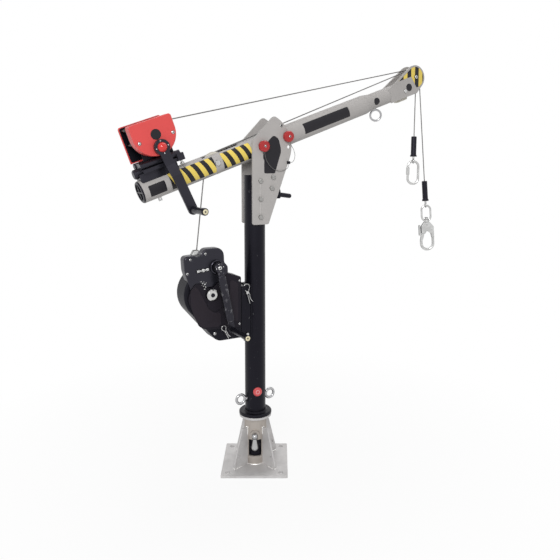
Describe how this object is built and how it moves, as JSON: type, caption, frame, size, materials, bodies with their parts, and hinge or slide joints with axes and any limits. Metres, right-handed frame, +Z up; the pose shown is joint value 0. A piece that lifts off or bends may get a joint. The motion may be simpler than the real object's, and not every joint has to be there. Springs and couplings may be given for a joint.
{
  "type": "floor mounted davit",
  "caption": "Slewing floor davit with a bolted base, mast and inclined boom, a hand winch, a retrieval block and two wire ropes with a carabiner and a swivel hook.",
  "frame": {"origin": "centre of the base plate's underside, on the mast's axis", "axes": "+Z up along the mast, +X the way the boom points, -Y the near side with the knobs and cranks"},
  "size_m": [1.5824, 0.4194, 1.7893],
  "materials": {
    "stainless_steel": "satin",
    "black_coat": "semi-gloss",
    "black_plastic": "satin",
    "grey_coat": "satin",
    "red_paint": "semi-gloss",
    "red_plastic": "gloss",
    "zinc_steel": "bright zinc",
    "wire_rope": "stranded",
    "pale_plastic": "satin"
  },
  "bodies": {
    "base": {"base_plate": "stainless_steel", "base_sleeve": "stainless_steel", "sleeve_flange": "stainless_steel", "base_gussets": "stainless_steel", "slew_lock_pin": "stainless_steel"},
    "mast": {"mast_spigot": "black_coat", "slew_collar": "black_coat", "mast_tube": "black_coat", "mast_eye_bolts": "zinc_steel", "mast_plug": "red_plastic", "near_head_plate": "grey_coat", "far_head_plate": "grey_coat", "head_bolts": "zinc_steel", "head_pins": "zinc_steel", "pin_knobs": "red_plastic", "handle_block": "black_coat", "push_handle": "black_plastic", "lanyard_clip": "black_coat", "lock_pin_lanyard": "wire_rope", "pivot_pin_lanyard": "wire_rope", "boom_tube": "grey_coat", "boom_nose": "grey_coat", "boom_end_cap": "black_plastic", "rope_sheaves": "pale_plastic", "sheave_axles": "zinc_steel", "rear_lug": "zinc_steel", "anchor_eye": "zinc_steel", "near_tip_cheek": "grey_coat", "far_tip_cheek": "grey_coat", "tip_bolt": "zinc_steel", "tip_guard": "pale_plastic", "winch_saddle": "black_coat", "winch_base": "black_coat", "winch_near_plate": "black_coat", "winch_far_plate": "red_paint", "winch_cover": "red_paint", "winch_spacers": "zinc_steel", "winch_drum": "zinc_steel", "retriever_case": "black_plastic", "retriever_head": "black_plastic", "retriever_cover": "black_plastic", "retriever_bracket": "black_coat", "mast_bracket": "black_coat", "bracket_pins": "zinc_steel", "retriever_nozzle": "zinc_steel", "retriever_knob": "zinc_steel", "hoist_rope": "wire_rope", "retriever_rope": "wire_rope", "rope_stops": "black_plastic", "rope_eyes": "zinc_steel", "carabiner": "zinc_steel", "swivel_link": "zinc_steel"},
    "winch_crank": {"winch_crank_arm": "black_coat", "winch_crank_cap": "red_plastic", "winch_crank_grip": "black_plastic"},
    "retriever_crank": {"retriever_crank_arm": "black_coat", "retriever_crank_grip": "black_plastic"},
    "snap_hook": {"snap_hook": "zinc_steel", "hook_gate": "zinc_steel"}
  },
  "joints": [
    {"name": "mast_slew", "type": "hinge", "parent": "base", "child": "mast", "pos_m": [0, 0, 0.2255], "axis": [0, 0, 1], "continuous": true},
    {"name": "winch_crank_turn", "type": "hinge", "parent": "mast", "child": "winch_crank", "pos_m": [-0.43081, -0.087, 1.36718], "axis": [0, -1, 0], "continuous": true},
    {"name": "retriever_crank_turn", "type": "hinge", "parent": "mast", "child": "retriever_crank", "pos_m": [-0.202, -0.084, 0.893], "axis": [0, -1, 0], "continuous": true},
    {"name": "hook_swivel", "type": "hinge", "parent": "mast", "child": "snap_hook", "pos_m": [0.98326, -0.0115, 1.01994], "axis": [-0.0958, 0, 0.9954], "continuous": true}
  ]
}
